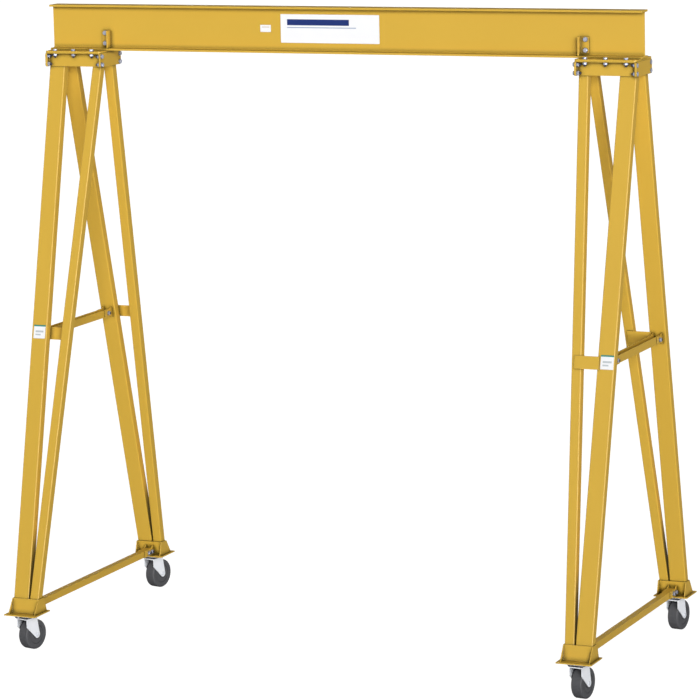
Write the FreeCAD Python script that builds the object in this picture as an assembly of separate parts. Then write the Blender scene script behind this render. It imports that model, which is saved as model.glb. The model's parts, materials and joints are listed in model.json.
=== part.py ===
import FreeCAD, Part
import math
import os
from FreeCAD import Vector

# Portable gantry crane: one I-beam on two A-shaped end frames, each on two swivel casters.
# Millimetres. +Z is up from the floor, X runs along the beam, the origin is on the floor under its middle.
# u is the distance from the middle along X, v the distance from the middle along Y.
# "right" and "left" are the +X and -X end frames, "front" and "rear" their -Y and +Y legs.

# ---- overall sizes ----
beam_length = 4267.0
beam_underside = 3994.0        # floor to the underside of the beam
foot_spread = 1960.0           # across the outer faces of the legs, at the base plates

# ---- beam ----
beam_depth = 307.0
flange_width = 118.0
flange_thick = 13.0
web_thick = 9.0
root_radius = 12.0

# ---- header that carries the beam on each end frame ----
header_inset = 5.5             # from the end of the beam to the header
header_length = 422.0
top_plate_thick = 12.0
top_plate_radius = 19.0
end_plate_thick = 7.0
end_plate_height = 94.0
end_plate_radius = 16.0
pan_thick = 6.0
pan_lip = 38.0                 # how far the pan's lips stand out from its web
pan_margin = 1.0               # from the lips to the edge of the end plates
plate_gap = 2.0                # reveal under the top plate, and at its edge

# ---- legs ----
wide_width = 114.0
narrow_width = 66.0
tube_depth = 60.0
tube_wall = 5.0
tube_radius = 7.0
leg_top_spread = 226.0         # across the legs' outer faces, at the header's lower edge
side_gap = 5.0                 # between a leg's top and the header's end plate
leg_gap = 3.0                  # between the two legs, at the base plate

# ---- straps and middle brace ----
strap_level = 2101.0
strap_height = 81.0
strap_thick = 6.0
strap_inset = 20.0             # from the narrow leg's inner edge to the strap
strap_lap = 12.0               # of the strap on the wide leg
brace_size = 52.0
brace_wall = 5.0
brace_gap = 22.0               # from the end of the brace to the leg
ear_thick = 8.0
ear_flare = 38.0               # length over which an ear grows to its root
brace_ear_length = 106.0
brace_ear_root = 80.0          # height of the ear where it meets the leg

# ---- bottom tie ----
tie_size = 46.0
tie_wall = 4.0
tie_lift = 4.0                 # above the base plates
tie_gap = 12.0                 # from the end of the tie to the foot
tie_ear_length = 135.0
tie_ear_root = 72.0

# ---- feet ----
foot_inset = 139.0             # from the header's outer end to the middle of the foot
foot_height = 96.0
foot_plate_thick = 6.0
gusset_top_out = 8.0           # side plate beyond the leg's outer face, at its top
gusset_top_in = 10.0
gusset_foot_out = 51.0
gusset_foot_in = 63.0
base_plate_thick = 8.0
base_margin_side = 19.0        # base plate beyond the foot's side, outer and inner edges
base_margin_out = 26.0
base_margin_in = 10.0

# ---- trolley stops ----
stop_leg = 54.0
stop_thick = 8.0
stop_height = 118.0
stop_inset = 2.0               # from the header's inner end to the stop

# ---- casters ----
wheel_diameter = 203.0
wheel_width = 75.0
wheel_edge = 9.0
hub_radius = 28.0
hub_stand = 1.0                # hub beyond the tread, on each side
rim_radius = 64.0
rim_recess = 3.0
axle_diameter = 19.0
axle_clearance = 0.05
caster_trail = 50.0
right_caster_turn = 7.0        # degrees the casters are swung from square
left_caster_turn = 12.5
crown_clearance = 14.0         # wheel to crown
crown_thick = 8.0
race_height = 18.0
race_radius = 37.0
race_gap = 0.5
mount_plate_thick = 10.0
mount_plate_length = 159.0     # along Y
mount_plate_width = 114.0      # along X
mount_plate_radius = 10.0
fork_plate_thick = 6.0
fork_gap = 1.0                 # hub to fork plate
fork_top_width = 104.0
fork_straight = 50.0           # depth of the fork plate's front edge before it slants
fork_tip_radius = 24.0
axle_head_radius = 12.5
axle_head_height = 3.0

# ---- derived levels ----
wheel_radius = wheel_diameter / 2
crown_level = wheel_diameter + crown_clearance
race_level = crown_level + crown_thick
mount_level = race_level + race_height
base_level = mount_level + mount_plate_thick
floor_plate_top = base_level + base_plate_thick
foot_top = floor_plate_top + foot_height
top_plate_level = beam_underside - top_plate_thick
header_level = top_plate_level - plate_gap - end_plate_height

# ---- derived places along X ----
header_outer = beam_length / 2 - header_inset
header_inner = header_outer - header_length
foot_center_u = header_outer - foot_inset
narrow_foot = foot_center_u - (narrow_width + leg_gap + wide_width) / 2
wide_foot = narrow_foot + narrow_width + leg_gap
narrow_top = header_inner + end_plate_thick + side_gap
wide_top = header_outer - end_plate_thick - side_gap - wide_width

# ---- derived places along Y ----
leg_slope = (foot_spread - leg_top_spread) / 2 / (header_level - floor_plate_top)
depth_across = tube_depth * math.hypot(1, leg_slope)
pan_face = leg_top_spread / 2
header_half = pan_face + pan_lip + pan_margin + plate_gap
base_outer = foot_spread / 2 + gusset_foot_out + base_margin_out
base_inner = foot_spread / 2 - depth_across - gusset_foot_in - base_margin_in
foot_center_v = (base_outer + base_inner) / 2

# ---- derived fork ----
hub_length = wheel_width + 2 * hub_stand
fork_half = hub_length / 2 + fork_gap + fork_plate_thick


# ---- basic shapes ----
def box(u0, u1, v0, v1, z0, z1):
    return Part.makeBox(u1 - u0, v1 - v0, z1 - z0, Vector(u0, v0, z0))


def prism(points, direction):
    """A flat outline pushed along a direction."""
    wire = Part.makePolygon(points + points[:1])
    return Part.Face(wire).extrude(direction)


def rounded_outline(u0, u1, v0, v1, z, radius):
    """A horizontal rectangle with round corners, as a face."""
    block = box(u0, u1, v0, v1, z, z + radius)
    uprights = [e for e in block.Edges if e.Vertexes[0].Z != e.Vertexes[-1].Z]
    rounded = block.makeFillet(radius, uprights)
    return min(rounded.Faces, key=lambda face: face.CenterOfMass.z)


# ---- lines that the legs follow ----
def leg_face(z):
    """How far the legs' outer face stands from the middle, at a height."""
    return foot_spread / 2 - (z - floor_plate_top) * leg_slope


def leg_inside(z):
    return leg_face(z) - depth_across


def foot_inside(z):
    return leg_inside(z) - foot_plate_thick


def between(foot, top, z):
    """A leg's place along X at a height, between its foot and its top."""
    share = (z - floor_plate_top) / (top_plate_level - floor_plate_top)
    return foot + (top - foot) * share


def narrow_edge(z):
    return between(narrow_foot, narrow_top, z)


def wide_edge(z):
    return between(wide_foot, wide_top, z)


def wide_center(z):
    return wide_edge(z) + wide_width / 2


def slab(u0, u1, z0, z1, near, far):
    """A plate that lies along the legs' slope, between two distances outside their face."""
    points = [
        Vector(u0, leg_face(z0) + near, z0),
        Vector(u0, leg_face(z0) + far, z0),
        Vector(u0, leg_face(z1) + far, z1),
        Vector(u0, leg_face(z1) + near, z1),
    ]
    return prism(points, Vector(u1 - u0, 0, 0))


# ---- beam ----
def root_fillet(x, z, inward):
    """The round between web and flange, as an edge from the flange to the web."""
    web = web_thick / 2
    bend = root_radius * (1 - math.sqrt(0.5))
    on_flange = Vector(x, web + root_radius, z)
    middle = Vector(x, web + bend, z + inward * bend)
    on_web = Vector(x, web, z + inward * root_radius)
    return Part.Arc(on_flange, middle, on_web).toShape()


def make_beam():
    x = -beam_length / 2
    z0 = beam_underside
    z1 = z0 + flange_thick
    z2 = z0 + beam_depth - flange_thick
    z3 = z0 + beam_depth
    edge = flange_width / 2
    web = web_thick / 2
    root = web + root_radius
    low = [Vector(x, 0, z0), Vector(x, edge, z0), Vector(x, edge, z1), Vector(x, root, z1)]
    upright = [Vector(x, web, z1 + root_radius), Vector(x, web, z2 - root_radius)]
    high = [Vector(x, root, z2), Vector(x, edge, z2), Vector(x, edge, z3), Vector(x, 0, z3)]
    edges = [Part.makeLine(a, b) for run in (low, upright, high) for a, b in zip(run, run[1:])]
    edges += [root_fillet(x, z1, 1), root_fillet(x, z2, -1), Part.makeLine(high[-1], low[0])]
    outline = Part.Wire(Part.__sortEdges__(edges))
    half = Part.Face(outline).extrude(Vector(beam_length, 0, 0))
    return half.fuse(flipped(half, 1, -1)).removeSplitter()


def make_stop():
    """An angle on the web: one leg flat on it, the other across the trolley's way."""
    u0 = header_inner - stop_inset
    v0 = web_thick / 2
    bottom = beam_underside + flange_thick + plate_gap
    top = bottom + stop_height
    flat_low = bottom + root_radius
    across = box(u0 - stop_thick, u0, v0, v0 + stop_leg, bottom, top)
    flat = box(u0 - stop_thick, u0 + stop_leg, v0, v0 + stop_thick, flat_low, top)
    relief = box(u0 - stop_thick, u0, v0, v0 + root_radius, bottom, flat_low)
    return across.cut(relief).fuse(flat).removeSplitter()


# ---- header ----
def make_top_plate():
    outline = rounded_outline(
        header_inner, header_outer, -header_half, header_half, top_plate_level, top_plate_radius
    )
    return outline.extrude(Vector(0, 0, top_plate_thick))


def make_pan():
    """The header's long side: a web with lips at its top and ends that stand outwards."""
    u0 = header_inner + end_plate_thick
    u1 = header_outer - end_plate_thick
    far = pan_face + pan_lip
    z0 = header_level + plate_gap
    z1 = top_plate_level
    web = box(u0, u1, pan_face, pan_face + pan_thick, z0, z1)
    top = box(u0, u1, pan_face, far, z1 - pan_thick, z1)
    ends = [box(u, u + pan_thick, pan_face, far, z0, z1) for u in (u0, u1 - pan_thick)]
    return web.fuse([top] + ends).removeSplitter()


def make_end_plate(u0):
    half = header_half - plate_gap
    plate = box(u0, u0 + end_plate_thick, -half, half, header_level, header_level + end_plate_height)
    corners = [e for e in plate.Edges if abs(e.Length - end_plate_thick) < 0.001]
    return plate.makeFillet(end_plate_radius, corners)


# ---- legs and what joins them ----
def make_leg(foot, top, width):
    """A hollow leg from the base plate to the top plate, standing on its sloping line."""
    z0 = floor_plate_top
    z1 = top_plate_level
    v1 = leg_face(z0)
    v0 = leg_inside(z0)
    wall = tube_wall
    direction = Vector(top - foot, leg_face(z1) - v1, z1 - z0)
    outer = rounded_outline(foot, foot + width, v0, v1, z0, tube_radius)
    inner = rounded_outline(
        foot + wall, foot + width - wall, v0 + wall, v1 - wall, z0, tube_radius - wall
    )
    return outer.extrude(direction).cut(inner.extrude(direction))


def make_strap(outside):
    """A flat bar from the narrow leg to the wide one, on their outer or inner faces."""
    z0 = strap_level - strap_height / 2
    z1 = strap_level + strap_height / 2
    near = 0 if outside else -depth_across - strap_thick
    u0 = narrow_edge(strap_level) + strap_inset
    u1 = wide_edge(strap_level) + strap_lap
    return slab(u0, u1, z0, z1, near, near + strap_thick)


def ear(u0, tip, low, high, root_low, root_high, root_line):
    """A bracket plate that widens to its root on a sloping face."""
    points = [
        Vector(u0, tip, low),
        Vector(u0, tip, high),
        Vector(u0, root_line(high) - ear_flare, high),
        Vector(u0, root_line(root_high), root_high),
        Vector(u0, root_line(root_low), root_low),
        Vector(u0, root_line(low) - ear_flare, low),
    ]
    return prism(points, Vector(ear_thick, 0, 0))


def ear_places(center, size):
    """Where the two ears on a bar's sides begin, along X."""
    return (center - size / 2 - ear_thick, center + size / 2)


def make_brace():
    """A channel, open at the top, between the two wide legs."""
    u0 = wide_center(strap_level) - brace_size / 2
    u1 = u0 + brace_size
    z0 = strap_level - brace_size / 2
    z1 = z0 + brace_size
    wall = brace_wall
    half = leg_inside(z1) - brace_gap
    body = box(u0, u1, -half, half, z0, z1)
    return body.cut(box(u0 + wall, u1 - wall, -half, half, z0 + wall, z1))


def make_brace_ears():
    tip = leg_inside(strap_level) - brace_ear_length
    low = strap_level - brace_size / 2
    root = strap_level - brace_ear_root / 2
    return [
        ear(u0, tip, low, low + brace_size, root, root + brace_ear_root, leg_inside)
        for u0 in ear_places(wide_center(strap_level), brace_size)
    ]


def make_tie():
    """A square tube between the two feet, just above the base plates."""
    u0 = foot_center_u - tie_size / 2
    u1 = u0 + tie_size
    z0 = floor_plate_top + tie_lift
    z1 = z0 + tie_size
    wall = tie_wall
    half = foot_inside(z1) - tie_gap
    body = box(u0, u1, -half, half, z0, z1)
    return body.cut(box(u0 + wall, u1 - wall, -half, half, z0 + wall, z1 - wall))


def make_tie_ears():
    low = floor_plate_top + tie_lift
    high = low + tie_size
    root = floor_plate_top
    tip = foot_inside(high) - tie_ear_length
    return [
        ear(u0, tip, low, high, root, root + tie_ear_root, foot_inside)
        for u0 in ear_places(foot_center_u, tie_size)
    ]


# ---- feet ----
def foot_sides():
    """The inner faces of a foot's two side plates, along X."""
    return min(narrow_foot, narrow_edge(foot_top)), max(wide_foot, wide_edge(foot_top)) + wide_width


def make_base_plate():
    inner, outer = foot_sides()
    reach = foot_plate_thick + base_margin_side
    return box(inner - reach, outer + reach, base_inner, base_outer, base_level, floor_plate_top)


def make_foot():
    """Four plates round the legs' ends: two tapered sides, a front and a back."""
    z0 = floor_plate_top
    z1 = foot_top
    thick = foot_plate_thick
    inner, outer = foot_sides()
    sides = []
    for u in (inner - thick, outer):
        outline = [
            Vector(u, leg_inside(z0) - gusset_foot_in, z0),
            Vector(u, leg_face(z0) + gusset_foot_out, z0),
            Vector(u, leg_face(z1) + gusset_top_out, z1),
            Vector(u, leg_inside(z1) - gusset_top_in, z1),
        ]
        sides.append(prism(outline, Vector(thick, 0, 0)))
    front = slab(inner, outer, z0, z1, 0, thick)
    back = slab(inner, outer, z0, z1, -depth_across - thick, -depth_across)
    return sides[0].fuse([sides[1], front, back]).removeSplitter()


# ---- casters, made about a kingpin on the Z axis ----
def make_mount_plate():
    half_u = mount_plate_width / 2
    half_v = mount_plate_length / 2
    outline = rounded_outline(-half_u, half_u, -half_v, half_v, mount_level, mount_plate_radius)
    plate = outline.extrude(Vector(0, 0, mount_plate_thick))
    foot = Vector(0, 0, race_level + race_gap)
    race = Part.makeCylinder(race_radius, race_height - race_gap, foot)
    return plate.fuse(race).removeSplitter()


def tip_tangent(corner, side):
    """Where a line from a corner of the fork plate meets the round tip."""
    along = corner.y - caster_trail
    down = corner.z - wheel_radius
    angle = math.atan2(down, along) + side * math.acos(fork_tip_radius / math.hypot(along, down))
    v = caster_trail + fork_tip_radius * math.cos(angle)
    return Vector(corner.x, v, wheel_radius + fork_tip_radius * math.sin(angle))


def fork_plate(x0):
    """One side of the fork: its front edge drops, then slants to a round tip at the axle."""
    side = fork_top_width / 2
    top_front = Vector(x0, -side, crown_level)
    top_rear = Vector(x0, side, crown_level)
    knee = Vector(x0, -side, crown_level - fork_straight)
    start = tip_tangent(knee, 1)
    end = tip_tangent(top_rear, -1)
    lowest = Vector(x0, caster_trail, wheel_radius - fork_tip_radius)
    path = [
        Part.makeLine(top_front, knee),
        Part.makeLine(knee, start),
        Part.Arc(start, lowest, end).toShape(),
        Part.makeLine(end, top_rear),
        Part.makeLine(top_rear, top_front),
    ]
    return Part.Face(Part.Wire(path)).extrude(Vector(fork_plate_thick, 0, 0))


def axle_line(x0, length, radius):
    """A cylinder on the axle's line."""
    start = Vector(x0, caster_trail, wheel_radius)
    return Part.makeCylinder(radius, length, start, Vector(1, 0, 0))


def axle_bore(half):
    return axle_line(-half, 2 * half, axle_diameter / 2 + axle_clearance)


def make_fork():
    side = fork_top_width / 2
    crown = box(-fork_half, fork_half, -side, side, crown_level, race_level)
    plates = [fork_plate(-fork_half), fork_plate(fork_half - fork_plate_thick)]
    return crown.fuse(plates).cut(axle_bore(fork_half)).removeSplitter()


def make_axle():
    """The axle: a shank through fork and wheel, with a low round head at each end."""
    reach = fork_half + axle_head_height
    shank = axle_line(-reach, 2 * reach, axle_diameter / 2)
    heads = [axle_line(x0, axle_head_height, axle_head_radius) for x0 in (-reach, fork_half)]
    return shank.fuse(heads).removeSplitter()


def make_wheel():
    half = wheel_width / 2
    tread = axle_line(-half, wheel_width, wheel_radius)
    rims = [e for e in tread.Edges if e.isClosed()]
    tread = tread.makeFillet(wheel_edge, rims)
    for x0 in (-half, half - rim_recess):
        tread = tread.cut(axle_line(x0, rim_recess, rim_radius))
    hub = axle_line(-hub_length / 2, hub_length, hub_radius)
    return tread.fuse(hub).cut(axle_bore(hub_length / 2)).removeSplitter()


# ---- placing ----
def flipped(shape, along_x, along_y):
    """The same piece on another side of the middle."""
    if along_x < 0:
        shape = shape.mirror(Vector(0, 0, 0), Vector(1, 0, 0))
    if along_y < 0:
        shape = shape.mirror(Vector(0, 0, 0), Vector(0, 1, 0))
    return shape


def at_foot(shape, along_x, along_y):
    """A piece made about the kingpin, under one of the feet."""
    return shape.translated(Vector(along_x * foot_center_u, along_y * foot_center_v, 0))


def swung(shape, turn):
    """A piece that turns on the kingpin, as the casters stand."""
    return shape.rotated(Vector(0, 0, 0), Vector(0, 0, 1), -turn)


def save(name, shapes):
    shape = shapes[0] if len(shapes) == 1 else Part.makeCompound(shapes)
    shape.exportStep("parts/" + name + ".step")


def save_end_frame(end, i):
    end_plates = [make_end_plate(header_inner), make_end_plate(header_outer - end_plate_thick)]
    save(end + "_top_plate", [flipped(make_top_plate(), i, 1)])
    save(end + "_end_plates", [flipped(plate, i, 1) for plate in end_plates])
    save(end + "_brace", [flipped(make_brace(), i, 1)])
    save(end + "_brace_ears", [flipped(s, i, j) for s in make_brace_ears() for j in (1, -1)])
    save(end + "_tie", [flipped(make_tie(), i, 1)])
    save(end + "_tie_ears", [flipped(s, i, j) for s in make_tie_ears() for j in (1, -1)])
    save(end + "_base_plates", [flipped(make_base_plate(), i, j) for j in (1, -1)])
    save(end + "_mount_plates", [at_foot(make_mount_plate(), i, j) for j in (1, -1)])
    save(end + "_straps", [flipped(make_strap(i * j < 0), i, j) for j in (1, -1)])


def save_corner(name, i, j):
    turn = right_caster_turn if i > 0 else left_caster_turn
    save(name + "_pan", [flipped(make_pan(), i, j)])
    save(name + "_wide_leg", [flipped(make_leg(wide_foot, wide_top, wide_width), i, j)])
    save(name + "_narrow_leg", [flipped(make_leg(narrow_foot, narrow_top, narrow_width), i, j)])
    save(name + "_foot", [flipped(make_foot(), i, j)])
    save(name + "_fork", [at_foot(swung(make_fork(), turn), i, j)])
    save(name + "_axle", [at_foot(swung(make_axle(), turn), i, j)])
    save(name + "_wheel", [at_foot(swung(make_wheel(), turn), i, j)])


os.makedirs("parts", exist_ok=True)

stop = make_stop()
save("beam", [make_beam()])
save("trolley_stops", [flipped(stop, i, j) for i in (1, -1) for j in (1, -1)])

for end, i in (("right", 1), ("left", -1)):
    save_end_frame(end, i)
    for side, j in (("front", -1), ("rear", 1)):
        save_corner(end + "_" + side, i, j)
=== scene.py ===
import json
import math

import bmesh
import bpy
from mathutils import Matrix, Vector


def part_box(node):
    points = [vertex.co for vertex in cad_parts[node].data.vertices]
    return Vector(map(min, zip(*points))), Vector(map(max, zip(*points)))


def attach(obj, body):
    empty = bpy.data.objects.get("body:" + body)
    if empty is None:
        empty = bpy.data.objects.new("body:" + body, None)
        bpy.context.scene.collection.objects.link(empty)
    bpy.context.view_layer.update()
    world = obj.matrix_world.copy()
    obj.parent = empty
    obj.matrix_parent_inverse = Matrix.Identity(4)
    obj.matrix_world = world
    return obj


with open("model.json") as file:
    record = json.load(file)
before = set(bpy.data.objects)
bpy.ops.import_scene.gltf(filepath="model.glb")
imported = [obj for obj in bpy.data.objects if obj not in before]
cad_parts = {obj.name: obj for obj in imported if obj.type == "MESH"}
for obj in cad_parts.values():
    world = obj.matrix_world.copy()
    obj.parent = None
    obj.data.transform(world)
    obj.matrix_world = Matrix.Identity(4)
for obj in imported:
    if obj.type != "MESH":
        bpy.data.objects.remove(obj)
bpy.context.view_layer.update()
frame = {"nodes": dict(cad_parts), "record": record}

ends = ("right", "left")
sides = ("front", "rear")
endSign = {"right": 1, "left": -1}
sideSign = {"front": -1, "rear": 1}


# small helpers for objects, materials and node trees
def addObject(name, data):
    made = bpy.data.objects.new(name, data)
    bpy.context.collection.objects.link(made)
    return made


def newMaterial(name):
    material = bpy.data.materials.new(name)
    material.use_nodes = True
    tree = material.node_tree
    return material, tree, tree.nodes["Principled BSDF"]


def addNode(tree, kind, **settings):
    node = tree.nodes.new(kind)
    for key, value in settings.items():
        setattr(node, key, value)
    return node


def feed(tree, node, values):
    # a value is either another node's output or a plain setting
    for key, value in values.items():
        socket = node.inputs[key]
        if isinstance(value, bpy.types.NodeSocket):
            tree.links.new(value, socket)
        else:
            socket.default_value = value
    return node


def mathNode(tree, operation, *values, clamp=False):
    node = addNode(tree, "ShaderNodeMath", operation=operation, use_clamp=clamp)
    return feed(tree, node, dict(enumerate(values))).outputs[0]


def dotProduct(tree, a, b):
    node = addNode(tree, "ShaderNodeVectorMath", operation="DOT_PRODUCT")
    return feed(tree, node, {0: a, 1: b}).outputs["Value"]


def splitVector(tree, vector):
    return feed(tree, addNode(tree, "ShaderNodeSeparateXYZ"), {0: vector}).outputs


def makeVector(tree, x=0.0, y=0.0, z=0.0):
    return feed(tree, addNode(tree, "ShaderNodeCombineXYZ"), {0: x, 1: y, 2: z}).outputs[0]


def objectNoise(tree, scale, detail):
    # noise that keeps its place on the piece
    place = addNode(tree, "ShaderNodeTexCoord")
    noise = addNode(tree, "ShaderNodeTexNoise")
    feed(tree, noise, {"Vector": place.outputs["Object"], "Scale": scale, "Detail": detail})
    return noise.outputs[0]


def newTree(name, kind, inputs, outputs):
    tree = bpy.data.node_groups.new(name, kind)
    for label, socketKind, value in inputs:
        socket = tree.interface.new_socket(label, in_out="INPUT", socket_type=socketKind)
        if value is not None:
            socket.default_value = value
    for label, socketKind in outputs:
        tree.interface.new_socket(label, in_out="OUTPUT", socket_type=socketKind)
    return tree, addNode(tree, "NodeGroupInput"), addNode(tree, "NodeGroupOutput")


# shader groups that several finishes use
wearAndEdgeLight = {
    "edgeGain": 6.0,  # how soon a turned bevel normal counts as an edge
    "edgeBreakup": 45.0,  # patches along an edge, per metre
    "dustPatches": 9.0,  # patches of dust, per metre
    "grainDistance": 0.001,  # height that a full bump stands for
}


def makeEdgeGroup():
    # rounds the look of sharp edges and finds them, in patches, for wear and for a painted edge
    # highlight
    tree, given, result = newTree(
        "edgeFinder",
        "ShaderNodeTree",
        [
            ("Radius", "NodeSocketFloat", 0.003),
            ("Breakup", "NodeSocketFloat", 30.0),
            ("Amount", "NodeSocketFloat", 0.5),
        ],
        [("Mask", "NodeSocketFloat"), ("Normal", "NodeSocketVector")],
    )
    bevel = addNode(tree, "ShaderNodeBevel", samples=4)
    feed(tree, bevel, {"Radius": given.outputs["Radius"]})
    flat = addNode(tree, "ShaderNodeNewGeometry")
    facing = dotProduct(tree, bevel.outputs[0], flat.outputs["Normal"])
    turned = mathNode(tree, "SUBTRACT", 1.0, facing)
    edge = mathNode(tree, "MULTIPLY", turned, wearAndEdgeLight["edgeGain"], clamp=True)
    patches = objectNoise(tree, given.outputs["Breakup"], 3.0)
    wearAndLightMask = mathNode(tree, "MULTIPLY", edge, patches)
    wearAndLightMask = mathNode(tree, "MULTIPLY", wearAndLightMask, given.outputs["Amount"], clamp=True)
    feed(tree, result, {"Mask": wearAndLightMask, "Normal": bevel.outputs[0]})
    return tree


def makeGrainGroup():
    # the fine orange peel or blasted grain of a coated surface, and slow cloudy changes
    tree, given, result = newTree(
        "surfaceGrain",
        "ShaderNodeTree",
        [("Fine Scale", "NodeSocketFloat", 400.0), ("Slow Scale", "NodeSocketFloat", 2.0)],
        [("Height", "NodeSocketFloat"), ("Cloud", "NodeSocketFloat")],
    )
    fine = objectNoise(tree, given.outputs["Fine Scale"], 2.0)
    slow = objectNoise(tree, given.outputs["Slow Scale"], 4.0)
    feed(tree, result, {"Height": fine, "Cloud": slow})
    return tree


def makeDustGroup():
    # a light dust on faces that look up, broken into patches
    tree, given, result = newTree(
        "restingDust",
        "ShaderNodeTree",
        [("Patch Scale", "NodeSocketFloat", 9.0), ("Amount", "NodeSocketFloat", 0.2)],
        [("Mask", "NodeSocketFloat")],
    )
    flat = addNode(tree, "ShaderNodeNewGeometry")
    up = splitVector(tree, flat.outputs["Normal"])[2]
    patches = objectNoise(tree, given.outputs["Patch Scale"], 5.0)
    level = mathNode(tree, "MULTIPLY", up, patches, clamp=True)
    feed(tree, result, {"Mask": mathNode(tree, "MULTIPLY", level, given.outputs["Amount"])})
    return tree


def makeCreviceShadeGroup():
    # painted shade where pieces meet: an occlusion test darkens creases and recesses, and stays
    # out of the open faces
    tree, given, result = newTree(
        "creviceShadeNodes",
        "ShaderNodeTree",
        [
            ("Reach", "NodeSocketFloat", 0.05),
            ("Tightness", "NodeSocketFloat", 1.4),
            ("Amount", "NodeSocketFloat", 0.8),
        ],
        [("Mask", "NodeSocketFloat")],
    )
    openness = addNode(tree, "ShaderNodeAmbientOcclusion", samples=6)
    feed(tree, openness, {"Distance": given.outputs["Reach"]})
    closed = mathNode(tree, "SUBTRACT", 1.0, openness.outputs["AO"], clamp=True)
    tight = mathNode(tree, "POWER", closed, given.outputs["Tightness"])
    spread = mathNode(tree, "MULTIPLY", tight, given.outputs["Amount"], clamp=True)
    feed(tree, result, {"Mask": spread})
    return tree


edgeGroup = makeEdgeGroup()
creviceShadeGroup = makeCreviceShadeGroup()
grainGroup = makeGrainGroup()
dustGroup = makeDustGroup()

# in every finish the crevice colour is painted shade, laid where an occlusion test finds creases
# and recesses
finishes = {
    # in every finish the edge colour mixes wear with a painted edge highlight; on the wheel it
    # is darker, a painted edge shade
    "yellowPaint": {
        "colour": (0.640, 0.402, 0.052),
        "cloudColour": (0.600, 0.372, 0.042),
        "edgeWearAndLightColour": (0.88, 0.60, 0.12),
        "dustColour": (0.34, 0.25, 0.07),
        "roughness": 0.42,
        "roughnessSpread": 0.14,
        "metallic": 0.0,
        "edgeRadius": 0.003,
        "edgeWearAndLightAmount": 1.6,
        "dust": 0.15,
        "fineScale": 300.0,
        "slowScale": 2.2,
        "bump": 0.22,
        "creviceShadeColour": (0.085, 0.055, 0.002),
        "creviceShadeReach": 0.035,
        "creviceShadeTightness": 1.3,
        "creviceShadeAmount": 2.4,
    },
    "casterZinc": {
        "colour": (0.93, 0.95, 0.99),
        "cloudColour": (0.86, 0.89, 0.95),
        "edgeWearAndLightColour": (0.97, 0.98, 1.0),
        "dustColour": (0.45, 0.45, 0.45),
        "roughness": 0.42,
        "roughnessSpread": 0.2,
        "metallic": 0.08,
        "edgeRadius": 0.0025,
        "edgeWearAndLightAmount": 1.6,
        "dust": 0.2,
        "fineScale": 900.0,
        "slowScale": 14.0,
        "bump": 0.06,
        "creviceShadeColour": (0.02, 0.02, 0.024),
        "creviceShadeReach": 0.07,
        "creviceShadeTightness": 2.2,
        "creviceShadeAmount": 2.6,
    },
    "axleSteel": {
        "colour": (0.84, 0.87, 0.93),
        "cloudColour": (0.74, 0.77, 0.84),
        "edgeWearAndLightColour": (0.95, 0.96, 0.99),
        "dustColour": (0.3, 0.3, 0.3),
        "roughness": 0.32,
        "roughnessSpread": 0.2,
        "metallic": 0.15,
        "edgeRadius": 0.001,
        "edgeWearAndLightAmount": 1.5,
        "dust": 0.1,
        "fineScale": 1200.0,
        "slowScale": 30.0,
        "bump": 0.05,
        "creviceShadeColour": (0.10, 0.10, 0.11),
        "creviceShadeReach": 0.01,
        "creviceShadeTightness": 1.4,
        "creviceShadeAmount": 0.4,
    },
    "boltZinc": {
        "colour": (0.64, 0.69, 0.84),
        "cloudColour": (0.48, 0.52, 0.68),
        "edgeWearAndLightColour": (0.95, 0.97, 1.0),
        "dustColour": (0.3, 0.3, 0.3),
        "roughness": 0.3,
        "roughnessSpread": 0.15,
        "metallic": 0.4,
        "edgeRadius": 0.0008,
        "edgeWearAndLightAmount": 1.5,
        "dust": 0.1,
        "fineScale": 1500.0,
        "slowScale": 40.0,
        "bump": 0.04,
        "creviceShadeColour": (0.010, 0.012, 0.04),
        "creviceShadeReach": 0.02,
        "creviceShadeTightness": 1.4,
        "creviceShadeAmount": 2.6,
    },
    "darkBolt": {
        "colour": (0.045, 0.050, 0.085),
        "cloudColour": (0.03, 0.033, 0.055),
        "edgeWearAndLightColour": (0.25, 0.27, 0.36),
        "dustColour": (0.1, 0.1, 0.1),
        "roughness": 0.4,
        "roughnessSpread": 0.15,
        "metallic": 0.3,
        "edgeRadius": 0.0008,
        "edgeWearAndLightAmount": 1.0,
        "dust": 0.1,
        "fineScale": 1500.0,
        "slowScale": 40.0,
        "bump": 0.04,
        "creviceShadeColour": (0.01, 0.01, 0.02),
        "creviceShadeReach": 0.01,
        "creviceShadeTightness": 1.4,
        "creviceShadeAmount": 0.5,
    },
    "wheelPlastic": {
        "colour": (0.085, 0.086, 0.093),
        "cloudColour": (0.070, 0.071, 0.078),
        # painted edge shade: a darker outline along the wheel's edges
        "edgeWearAndLightColour": (0.032, 0.033, 0.037),
        "dustColour": (0.16, 0.155, 0.15),
        "roughness": 0.58,
        "roughnessSpread": 0.16,
        "metallic": 0.0,
        "edgeRadius": 0.007,
        "edgeWearAndLightAmount": 2.0,
        "dust": 0.25,
        "fineScale": 260.0,
        "slowScale": 8.0,
        "bump": 0.12,
        "creviceShadeColour": (0.015, 0.015, 0.017),
        "creviceShadeReach": 0.03,
        "creviceShadeTightness": 1.4,
        "creviceShadeAmount": 0.8,
    },
}


def placeGroup(tree, group, values):
    node = addNode(tree, "ShaderNodeGroup", node_tree=group)
    return feed(tree, node, values)


def mixColour(tree, factor, a, b):
    node = addNode(tree, "ShaderNodeMix", data_type="RGBA")
    # the colour sockets of a Mix node are the seventh and eighth
    feed(tree, node, {0: factor, 6: a, 7: b})
    return node.outputs[2]


def opaque(colour):
    return (*colour, 1.0)


def grainBump(tree, grain, strength, **more):
    node = addNode(tree, "ShaderNodeBump")
    height = grain.outputs["Height"]
    values = {"Strength": strength, "Distance": wearAndEdgeLight["grainDistance"], "Height": height}
    return feed(tree, node, {**values, **more}).outputs[0]


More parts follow.
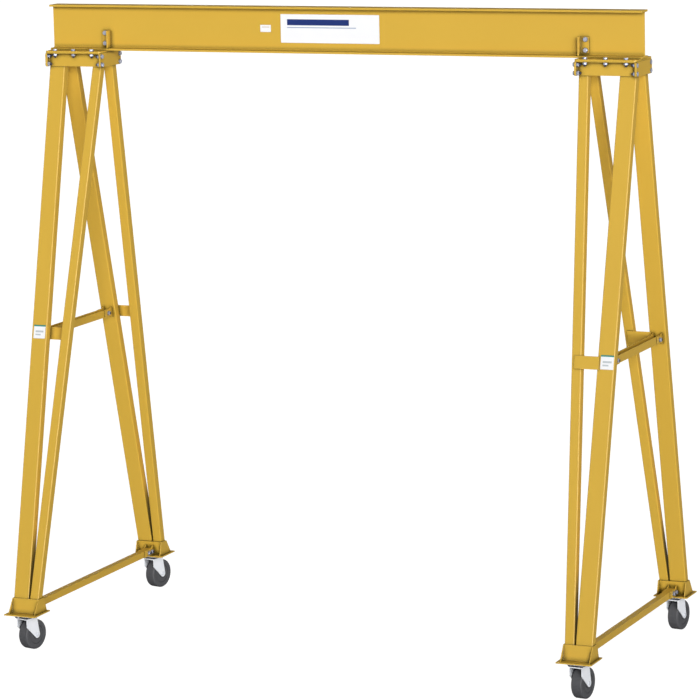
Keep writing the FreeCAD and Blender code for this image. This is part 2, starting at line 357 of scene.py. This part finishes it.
def makeFinish(name, look):
    material, tree, shader = newMaterial(name)
    # edges: wear in patches, mixed with a painted highlight (a painted shade on the wheel)
    edge = placeGroup(
        tree,
        edgeGroup,
        {
            "Radius": look["edgeRadius"],
            "Breakup": wearAndEdgeLight["edgeBreakup"],
            "Amount": look["edgeWearAndLightAmount"],
        },
    )
    grain = placeGroup(
        tree, grainGroup, {"Fine Scale": look["fineScale"], "Slow Scale": look["slowScale"]}
    )
    dust = placeGroup(
        tree, dustGroup, {"Patch Scale": wearAndEdgeLight["dustPatches"], "Amount": look["dust"]}
    )
    # painted shade in creases and recesses
    paintedShade = placeGroup(
        tree,
        creviceShadeGroup,
        {
            "Reach": look["creviceShadeReach"],
            "Tightness": look["creviceShadeTightness"],
            "Amount": look["creviceShadeAmount"],
        },
    )
    colour = opaque(look["colour"])
    for mask, layer in (
        (grain.outputs["Cloud"], "cloudColour"),
        (dust.outputs["Mask"], "dustColour"),
        (paintedShade.outputs["Mask"], "creviceShadeColour"),
        (edge.outputs["Mask"], "edgeWearAndLightColour"),
    ):
        colour = mixColour(tree, mask, colour, opaque(look[layer]))
    spread = mathNode(
        tree, "MULTIPLY_ADD", grain.outputs["Cloud"], look["roughnessSpread"], look["roughness"]
    )
    rough = mathNode(tree, "SUBTRACT", spread, look["roughnessSpread"] / 2)
    normal = grainBump(tree, grain, look["bump"], Normal=edge.outputs["Normal"])
    feed(
        tree,
        shader,
        {
            "Base Color": colour,
            "Roughness": rough,
            "Metallic": look["metallic"],
            "Normal": normal,
        },
    )
    return material


materials = {name: makeFinish(name, look) for name, look in finishes.items()}
print("finishes made")


# the CAD nodes get their finishes
slotFinish = {
    "yellow_paint": "yellowPaint",
    "caster_metal": "casterZinc",
    "axle_steel": "axleSteel",
    "wheel": "wheelPlastic",
}
for part in frame["record"]["subparts"]:
    node = frame["nodes"][part["node"]]
    node.data.materials.clear()
    node.data.materials.append(materials[slotFinish[part["material_slot"]]])
print("CAD nodes painted")


# bolts
boltShape = {
    "headChamfer": 0.2,  # share of a head's height
    "nutChamfer": 0.15,
    "chamferedFace": 0.86,  # size of a chamfered face against its hexagon
    "facingUp": 0.9,  # least Z of a top face's normal
    "washerSides": 28,
    "shankSides": 18,
    "threadPitch": 0.0025,
    "threadDepth": 0.14,  # share of the shank's radius
}


def shifted(tree, geometry, z, turned=False):
    node = addNode(tree, "GeometryNodeTransform")
    feed(
        tree,
        node,
        {
            "Geometry": geometry,
            "Translation": makeVector(tree, z=z),
            "Rotation": (math.pi if turned else 0.0, 0.0, 0.0),
        },
    )
    return node.outputs[0]


def cylinder(tree, sides, radius, depth, **more):
    node = addNode(tree, "GeometryNodeMeshCylinder", fill_type="NGON")
    values = {"Vertices": sides, "Radius": radius, "Depth": depth}
    return feed(tree, node, {**values, **more}).outputs[0]


def hexagon(tree, given, height, chamfer):
    # a hexagon standing on z = 0, its top edge chamfered
    radius = mathNode(tree, "DIVIDE", given["Across Flats"], math.sqrt(3))
    straight = mathNode(tree, "MULTIPLY", height, 1 - chamfer)
    body = cylinder(tree, 6, radius, straight)
    raised = shifted(tree, body, mathNode(tree, "DIVIDE", straight, 2.0))
    normal = addNode(tree, "GeometryNodeInputNormal")
    isTop = addNode(tree, "FunctionNodeCompare", operation="GREATER_THAN")
    feed(tree, isTop, {0: splitVector(tree, normal.outputs[0])[2], 1: boltShape["facingUp"]})
    drawn = addNode(tree, "GeometryNodeExtrudeMesh", mode="FACES")
    feed(
        tree,
        drawn,
        {
            "Mesh": raised,
            "Selection": isTop.outputs[0],
            "Offset Scale": mathNode(tree, "MULTIPLY", height, chamfer),
        },
    )
    narrowed = addNode(tree, "GeometryNodeScaleElements", domain="FACE")
    feed(
        tree,
        narrowed,
        {
            "Geometry": drawn.outputs[0],
            "Selection": drawn.outputs["Top"],
            "Scale": boltShape["chamferedFace"],
        },
    )
    return narrowed.outputs[0]


def threadedEnd(tree, radius, length):
    # rings half a pitch apart, every other one drawn in, standing on z = 0
    step = boltShape["threadPitch"] / 2
    rings = mathNode(tree, "CEIL", mathNode(tree, "DIVIDE", length, step))
    depth = mathNode(tree, "MULTIPLY", rings, step)
    shank = cylinder(tree, boltShape["shankSides"], radius, depth, **{"Side Segments": rings})
    raised = shifted(tree, shank, mathNode(tree, "DIVIDE", depth, 2.0))
    place = addNode(tree, "GeometryNodeInputPosition")
    x, y, z = splitVector(tree, place.outputs[0])
    wave = mathNode(tree, "PINGPONG", z, step)
    inward = mathNode(tree, "MULTIPLY", wave, -boltShape["threadDepth"] / step)
    drawnIn = makeVector(
        tree, mathNode(tree, "MULTIPLY", x, inward), mathNode(tree, "MULTIPLY", y, inward)
    )
    cut = addNode(tree, "GeometryNodeSetPosition")
    feed(tree, cut, {"Geometry": raised, "Offset": drawnIn})
    return cut.outputs[0]


def joinParts(tree, parts):
    node = addNode(tree, "GeometryNodeJoinGeometry")
    for part in parts:
        tree.links.new(part, node.inputs[0])
    return node.outputs[0]


def makeBoltTree():
    # on each point: head and washer above z = 0, washer, nut and threaded end below the grip
    inputs = [
        ("Geometry", "NodeSocketGeometry", None),
        ("Across Flats", "NodeSocketFloat", 0.024),
        ("Head Height", "NodeSocketFloat", 0.010),
        ("Nut Height", "NodeSocketFloat", 0.013),
        ("Shank Radius", "NodeSocketFloat", 0.008),
        ("Washer Radius", "NodeSocketFloat", 0.0145),
        ("Washer Thickness", "NodeSocketFloat", 0.0028),
        ("Grip", "NodeSocketFloat", 0.018),
        ("Stick Out", "NodeSocketFloat", 0.009),
        ("With Head", "NodeSocketBool", True),
        ("Seed", "NodeSocketInt", 3),
        ("Material", "NodeSocketMaterial", None),
        ("Thread Material", "NodeSocketMaterial", None),
    ]
    tree, entry, result = newTree(
        "boltSet", "GeometryNodeTree", inputs, [("Geometry", "NodeSocketGeometry")]
    )
    given = entry.outputs
    washer = given["Washer Thickness"]
    halfWasher = mathNode(tree, "DIVIDE", washer, 2.0)
    washerDisc = cylinder(tree, boltShape["washerSides"], given["Washer Radius"], washer)
    head = hexagon(tree, given, given["Head Height"], boltShape["headChamfer"])
    head = shifted(tree, head, washer)
    upper = shifted(tree, washerDisc, halfWasher)
    under = mathNode(tree, "MULTIPLY", given["Grip"], -1.0)
    lower = shifted(tree, washerDisc, mathNode(tree, "SUBTRACT", under, halfWasher))
    nutSeat = mathNode(tree, "SUBTRACT", under, washer)
    nut = hexagon(tree, given, given["Nut Height"], boltShape["nutChamfer"])
    nut = shifted(tree, nut, nutSeat, turned=True)
    reach = mathNode(tree, "ADD", given["Nut Height"], given["Stick Out"])
    thread = threadedEnd(tree, given["Shank Radius"], reach)
    thread = shifted(tree, thread, nutSeat, turned=True)
    marked = addNode(tree, "GeometryNodeStoreNamedAttribute", data_type="BOOLEAN", domain="FACE")
    feed(tree, marked, {"Geometry": thread, "Name": "isThread", "Value": True})
    headSwitch = addNode(tree, "GeometryNodeSwitch", input_type="GEOMETRY")
    feed(
        tree, headSwitch, {"Switch": given["With Head"], "True": joinParts(tree, (head, upper))}
    )
    joined = joinParts(tree, (headSwitch.outputs[0], lower, nut, marked.outputs[0]))
    axis = addNode(tree, "GeometryNodeInputNamedAttribute", data_type="FLOAT_VECTOR")
    feed(tree, axis, {"Name": "axis"})
    aligned = addNode(tree, "FunctionNodeAlignRotationToVector", axis="Z")
    feed(tree, aligned, {"Vector": axis.outputs[0]})
    points = addNode(tree, "GeometryNodeMeshToPoints")
    feed(tree, points, {"Mesh": given["Geometry"]})
    placed = addNode(tree, "GeometryNodeInstanceOnPoints")
    feed(
        tree,
        placed,
        {"Points": points.outputs[0], "Instance": joined, "Rotation": aligned.outputs[0]},
    )
    turn = addNode(tree, "FunctionNodeRandomValue", data_type="FLOAT")
    # the float limits of a Random Value node are its third and fourth sockets
    feed(tree, turn, {2: 0.0, 3: math.pi / 3, "Seed": given["Seed"]})
    spun = addNode(tree, "GeometryNodeRotateInstances")
    about = makeVector(tree, z=turn.outputs[1])
    feed(tree, spun, {"Instances": placed.outputs[0], "Rotation": about})
    real = addNode(tree, "GeometryNodeRealizeInstances")
    feed(tree, real, {0: spun.outputs[0]})
    dressed = addNode(tree, "GeometryNodeSetMaterial")
    feed(tree, dressed, {"Geometry": real.outputs[0], "Material": given["Material"]})
    isThread = addNode(tree, "GeometryNodeInputNamedAttribute", data_type="BOOLEAN")
    feed(tree, isThread, {"Name": "isThread"})
    cutEnds = addNode(tree, "GeometryNodeSetMaterial")
    feed(
        tree,
        cutEnds,
        {
            "Geometry": dressed.outputs[0],
            "Selection": isThread.outputs[0],
            "Material": given["Thread Material"],
        },
    )
    feed(tree, result, {0: cutEnds.outputs[0]})
    return tree


def socketIds(tree):
    items = tree.interface.items_tree
    return {item.name: item.identifier for item in items if item.in_out == "INPUT"}


def runTree(name, mesh, tree, values):
    # the modifier's result becomes a plain mesh, and the modifier goes
    carrier = addObject(name, mesh)
    modifier = carrier.modifiers.new(name, "NODES")
    ids = socketIds(tree)
    modifier.node_group = tree
    for label, value in values.items():
        modifier[ids[label]] = value
    graph = bpy.context.evaluated_depsgraph_get()
    made = bpy.data.meshes.new_from_object(carrier.evaluated_get(graph))
    carrier.modifiers.clear()
    carrier.data = made
    made.name = name
    return carrier


boltTree = makeBoltTree()
headerBolt = {
    "Across Flats": 0.0255,
    "Head Height": 0.010,
    "Nut Height": 0.013,
    "Shank Radius": 0.008,
    "Washer Radius": 0.0162,
    "Washer Thickness": 0.0028,
    "Stick Out": 0.011,
}
casterBolt = {
    "Across Flats": 0.0165,
    "Nut Height": 0.0082,
    "Shank Radius": 0.005,
    "Washer Radius": 0.0098,
    "Washer Thickness": 0.0012,
    "Stick Out": 0.002,
    "With Head": False,
}


def boltSet(name, body, places, grip, size, finish="boltZinc", seed=3):
    # places are (point, axis) pairs: the point is under the head, the axis leads out of it
    mesh = bpy.data.meshes.new(name)
    mesh.from_pydata([point for point, _ in places], [], [])
    attribute = mesh.attributes.new("axis", "FLOAT_VECTOR", "POINT")
    for index, (_, axis) in enumerate(places):
        attribute.data[index].vector = axis
    values = {
        **size,
        "Grip": grip,
        "Seed": seed,
        "Material": materials[finish],
        "Thread Material": materials["darkBolt"],
    }
    bolts = runTree(name, mesh, boltTree, values)
    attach(bolts, body)
    return bolts


header = {
    "boltShares": (0.16, 0.49, 0.82),  # along the top plate, from its left edge
    "boltLine": 0.133,  # out from the middle of the beam
    "topGrip": 0.018,
    "endBoltShares": (0.19, 0.78),  # up the end plate
    "endGrip": 0.013,
    # low, so that they stay inside the beam's end
    "outerHead": {"Head Height": 0.0045, "Washer Thickness": 0.0009},
}

topPlaces = []
outerPlaces = []
innerPlaces = []
for end in ends:
    low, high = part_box(end + "_top_plate")
    for share in header["boltShares"]:
        for side in sides:
            x = low.x + share * (high.x - low.x)
            topPlaces.append(((x, sideSign[side] * header["boltLine"], high.z), (0, 0, 1)))
    low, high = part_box(end + "_end_plates")
    outerX, innerX = (high.x, low.x) if end == "right" else (low.x, high.x)
    for share in header["endBoltShares"]:
        z = low.z + share * (high.z - low.z)
        for side in sides:
            y = sideSign[side] * header["boltLine"]
            outerPlaces.append(((outerX, y, z), (endSign[end], 0, 0)))
            innerPlaces.append(((innerX, y, z), (-endSign[end], 0, 0)))
boltSet("top_plate_bolts", "crane", topPlaces, header["topGrip"], headerBolt, seed=5)
boltSet("inner_end_bolts", "crane", innerPlaces, header["endGrip"], headerBolt, seed=7)
outerBolt = {**headerBolt, **header["outerHead"]}
boltSet("outer_end_bolts", "crane", outerPlaces, header["endGrip"], outerBolt, seed=8)

bracing = {
    # how far in from the bar's end its bolts are, and how its nuts differ from the header's
    "brace": {
        "boltsIn": (0.033,),
        "nut": {"Across Flats": 0.023, "Nut Height": 0.011, "Stick Out": 0.003},
        "seed": 9,
    },
    "tie": {
        "boltsIn": (0.019, 0.066),
        "nut": {"Across Flats": 0.022, "Nut Height": 0.010, "Stick Out": 0.004},
        "seed": 11,
    },
}
for bar, fitting in bracing.items():
    places = []
    for end in ends:
        low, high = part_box(f"{end}_{bar}")
        earLow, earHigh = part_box(f"{end}_{bar}_ears")
        z = (low.z + high.z) / 2
        for side in sides:
            for inset in fitting["boltsIn"]:
                y = sideSign[side] * (high.y - inset)
                places.append(((earLow.x, y, z), (-1, 0, 0)))
    grip = earHigh.x - earLow.x  # the same at both ends
    size = {**headerBolt, **fitting["nut"]}
    boltSet(bar + "_bolts", "crane", places, grip, size, seed=fitting["seed"])

webHalf = 0.0045  # half of the beam's web
stopBolts = {"fromOuter": 0.023, "fromFoot": 0.031, "fromTop": 0.017, "legThick": 0.008}
low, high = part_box("trolley_stops")
stopFace = webHalf + stopBolts["legThick"]
stopPlaces = []
for sign in (1, -1):
    x = sign * (high.x - stopBolts["fromOuter"])
    for z in (low.z + stopBolts["fromFoot"], high.z - stopBolts["fromTop"]):
        stopPlaces.append(((x, -stopFace, z), (0, -1, 0)))
boltSet("stop_bolts", "crane", stopPlaces, 2 * stopFace, headerBolt, seed=13)

caster = {"boltX": 0.044, "boltY": 0.0667, "mountPlateThick": 0.010}
casterPlaces = []
for joint in frame["record"]["behaviour"]["joints"]:
    if not joint["name"].endswith("_swivel"):
        continue
    x, y, _ = joint["pos_m"]
    low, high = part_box(joint["name"].split("_")[0] + "_base_plates")
    for signX in (1, -1):
        for signY in (1, -1):
            place = (x + signX * caster["boltX"], y + signY * caster["boltY"], high.z)
            casterPlaces.append((place, (0, 0, 1)))
casterGrip = high.z - low.z + caster["mountPlateThick"]  # every base plate is alike
boltSet("caster_bolts", "crane", casterPlaces, casterGrip, casterBolt, "darkBolt", seed=17)
print("bolts made")


# signs and labels
film = {
    "fineScale": 700.0,
    "slowScale": 6.0,
    "cloud": 0.95,  # the darker tone, as a share of the ground colour
    "bump": 0.03,
    "roughness": 0.3,
    "roughnessSpread": 0.1,
    "cornerSteps": 6,
    "white": (0.87, 0.88, 0.90),
}


def roundedSheet(name, width, height, radius, thickness, place):
    # a thin sheet with rounded corners; place is a matrix that puts its middle and faces it
    mesh = bmesh.new()
    steps = film["cornerSteps"]
    outline = []
    for cornerX, cornerZ, start in ((1, 1, 0), (-1, 1, 90), (-1, -1, 180), (1, -1, 270)):
        for step in range(steps + 1):
            angle = math.radians(start + 90 * step / steps)
            x = cornerX * (width / 2 - radius) + radius * math.cos(angle)
            z = cornerZ * (height / 2 - radius) + radius * math.sin(angle)
            outline.append(mesh.verts.new((x, 0, z)))
    face = mesh.faces.new(outline)
    drawn = bmesh.ops.extrude_face_region(mesh, geom=[face])
    moved = [item for item in drawn["geom"] if isinstance(item, bmesh.types.BMVert)]
    bmesh.ops.translate(mesh, verts=moved, vec=(0, -thickness, 0))
    bmesh.ops.recalc_face_normals(mesh, faces=mesh.faces)
    bmesh.ops.transform(mesh, matrix=place, verts=mesh.verts)
    data = bpy.data.meshes.new(name)
    mesh.to_mesh(data)
    mesh.free()
    sheet = addObject(name, data)
    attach(sheet, "crane")
    return sheet


def bandMask(tree, value, low, high):
    above = mathNode(tree, "GREATER_THAN", value, low)
    below = mathNode(tree, "LESS_THAN", value, high)
    return mathNode(tree, "MULTIPLY", above, below)


def makePrinted(name, middle, patches):
    # printed film; a patch is its low and high x, low and high z from the middle, and a colour
    material, tree, shader = newMaterial(name)
    place = addNode(tree, "ShaderNodeTexCoord")
    x, _, z = splitVector(tree, place.outputs["Object"])
    grain = placeGroup(
        tree, grainGroup, {"Fine Scale": film["fineScale"], "Slow Scale": film["slowScale"]}
    )
    cloud = tuple(film["cloud"] * channel for channel in film["white"])
    colour = mixColour(tree, grain.outputs["Cloud"], opaque(film["white"]), opaque(cloud))
    for left, right, bottom, top, patchColour in patches:
        across = bandMask(tree, x, middle[0] + left, middle[0] + right)
        upward = bandMask(tree, z, middle[1] + bottom, middle[1] + top)
        inside = mathNode(tree, "MULTIPLY", across, upward)
        colour = mixColour(tree, inside, colour, opaque(patchColour))
    rough = mathNode(
        tree, "MULTIPLY_ADD", grain.outputs["Cloud"], film["roughnessSpread"], film["roughness"]
    )
    normal = grainBump(tree, grain, film["bump"])
    feed(tree, shader, {"Base Color": colour, "Roughness": rough, "Normal": normal})
    return material


navy = (0.012, 0.030, 0.16)
greyBlue = (0.30, 0.36, 0.52)
paleTan = (0.72, 0.66, 0.60)
signs = {
    "beam_sign": {
        "film": "signFilm",
        "middle": (-0.064, 4.155),
        "size": (0.714, 0.190),
        "corner": 0.004,
        "patches": (
            (-0.31, 0.14, 0.022, 0.062, navy),
            (-0.31, 0.19, 0.004, 0.010, greyBlue),
        ),
    },
    "beam_tag": {
        "film": "tagFilm",
        "middle": (-0.5325, 4.1535),
        "size": (0.077, 0.047),
        "corner": 0.002,
        "patches": ((-0.028, 0.028, 0.004, 0.014, paleTan),),
    },
}
signThick = 0.0012
for name, sign in signs.items():
    x, z = sign["middle"]
    place = Matrix.Translation((x, -webHalf, z))
    sheet = roundedSheet(name, *sign["size"], sign["corner"], signThick, place)
    sheet.data.materials.append(makePrinted(sign["film"], sign["middle"], sign["patches"]))

labels = {
    "size": (0.088, 0.092),
    "corner": 0.003,
    "thickness": 0.0008,
    "levels": {"left": 2.1185, "right": 2.1075},
    "shift": {"left": 0.002, "right": 0.008},  # to the right of the leg's middle
    "tealShare": 0.12,  # of the label's height
    "teal": (0.03, 0.26, 0.22),
    "greyBars": ((-0.030, 0.030, -0.004, 0.008), (-0.030, 0.010, -0.024, -0.014)),
    "grey": (0.50, 0.54, 0.56),
}
sameLevel = 0.0005


def legEnd(node, pick):
    # middle x, front y and level of a leg's end; pick is min for its foot and max for its head
    points = [vertex.co for vertex in frame["nodes"][node].data.vertices]
    level = pick(point.z for point in points)
    rim = [point for point in points if abs(point.z - level) < sameLevel]
    x = (min(point.x for point in rim) + max(point.x for point in rim)) / 2
    return x, min(point.y for point in rim), level


for end in ends:
    level = labels["levels"][end]
    footX, footY, footZ = legEnd(end + "_front_wide_leg", min)
    headX, headY, headZ = legEnd(end + "_front_wide_leg", max)
    share = (level - footZ) / (headZ - footZ)
    slope = math.atan2(headY - footY, headZ - footZ)
    lean = math.atan2(headX - footX, headZ - footZ)
    middle = Vector((footX + share * (headX - footX), footY + share * (headY - footY), level))
    middle.x += labels["shift"][end]
    place = (
        Matrix.Translation(middle)
        @ Matrix.Rotation(-slope, 4, "X")
        @ Matrix.Rotation(lean, 4, "Y")
    )
    width, height = labels["size"]
    sheet = roundedSheet(
        end + "_leg_label", width, height, labels["corner"], labels["thickness"], place
    )
    tealLow = height * (0.5 - labels["tealShare"])
    patches = [(-width, width, tealLow, height, labels["teal"])]
    patches += [(*bar, labels["grey"]) for bar in labels["greyBars"]]
    sheet.data.materials.append(makePrinted(end + "LabelFilm", (middle.x, level), patches))
print("signs made")


# floor, light and camera
studio = {
    "floorReach": 60.0,
    "floorDrop": 0.0005,  # just under the wheels
    "floorGrey": (0.3, 0.3, 0.3),
    "floorGlow": 0.93,  # what the camera sees of the floor
    "shade": 0.13,  # the light that the world gives
    "backdrop": 1.0,  # what the camera sees of the world
}


def makeFloor():
    reach = studio["floorReach"]
    mesh = bpy.data.meshes.new("floor")
    corners = [(-reach, -reach, 0), (reach, -reach, 0), (reach, reach, 0), (-reach, reach, 0)]
    mesh.from_pydata(corners, [], [(0, 1, 2, 3)])
    floor = addObject("floor", mesh)
    material, tree, shader = newMaterial("paleFloor")
    path = addNode(tree, "ShaderNodeLightPath")
    glow = mathNode(tree, "MULTIPLY", path.outputs["Is Camera Ray"], studio["floorGlow"])
    feed(
        tree,
        shader,
        {
            "Base Color": opaque(studio["floorGrey"]),
            "Roughness": 0.9,
            "Specular IOR Level": 0.0,
            "Emission Color": (1, 1, 1, 1),
            "Emission Strength": glow,
        },
    )
    floor.data.materials.append(material)
    floor.location.z = -studio["floorDrop"]


lightRig = {
    # name: (azimuth from the front towards +X, elevation, strength, softness in degrees)
    "key": (33, 4, 5.3, 40),
    "rightFill": (80, 3, 0.42, 40),
    "back": (205, 4, 4.2, 30),
    "leftSide": (262, 3, 1.8, 40),
}


def makeLights():
    for name, (azimuth, elevation, strength, softness) in lightRig.items():
        lamp = bpy.data.lights.new(name, "SUN")
        lamp.energy = strength
        lamp.angle = math.radians(softness)
        holder = addObject(name, lamp)
        holder.visible_glossy = name == "key"  # the others only fill the shade
        a = math.radians(azimuth)
        e = math.radians(elevation)
        toLamp = Vector((math.sin(a) * math.cos(e), -math.cos(a) * math.cos(e), math.sin(e)))
        holder.rotation_euler = toLamp.to_track_quat("Z", "Y").to_euler()


def makeWorld():
    # the camera sees a bright backdrop, and the crane a dimmer one
    world = bpy.data.worlds.new("studio")
    bpy.context.scene.world = world
    world.use_nodes = True
    tree = world.node_tree
    path = addNode(tree, "ShaderNodeLightPath")
    seenMore = studio["backdrop"] - studio["shade"]
    strength = mathNode(
        tree, "MULTIPLY_ADD", path.outputs["Is Camera Ray"], seenMore, studio["shade"]
    )
    feed(tree, tree.nodes["Background"], {"Color": (1, 1, 1, 1), "Strength": strength})


cameraRig = {
    "place": (9.71186, -21.86732, 6.06090),
    "turn": 23.886,  # degrees to the left of straight ahead
    "down": 9.630,
    "roll": -1.292,
    "lens": 185.93,
    "sensor": 36.0,
    "farthest": 300,
}


def makeCamera():
    camera = bpy.data.cameras.new("camera")
    camera.lens = cameraRig["lens"]
    camera.sensor_width = cameraRig["sensor"]
    camera.clip_end = cameraRig["farthest"]
    holder = addObject("camera", camera)
    holder.matrix_world = (
        Matrix.Translation(cameraRig["place"])
        @ Matrix.Rotation(math.radians(cameraRig["turn"]), 4, "Z")
        @ Matrix.Rotation(math.radians(90 - cameraRig["down"]), 4, "X")
        @ Matrix.Rotation(math.radians(cameraRig["roll"]), 4, "Z")
    )
    bpy.context.scene.camera = holder


makeFloor()
makeLights()
makeWorld()
makeCamera()
bpy.context.scene.view_settings.view_transform = "Standard"
print("stage set")
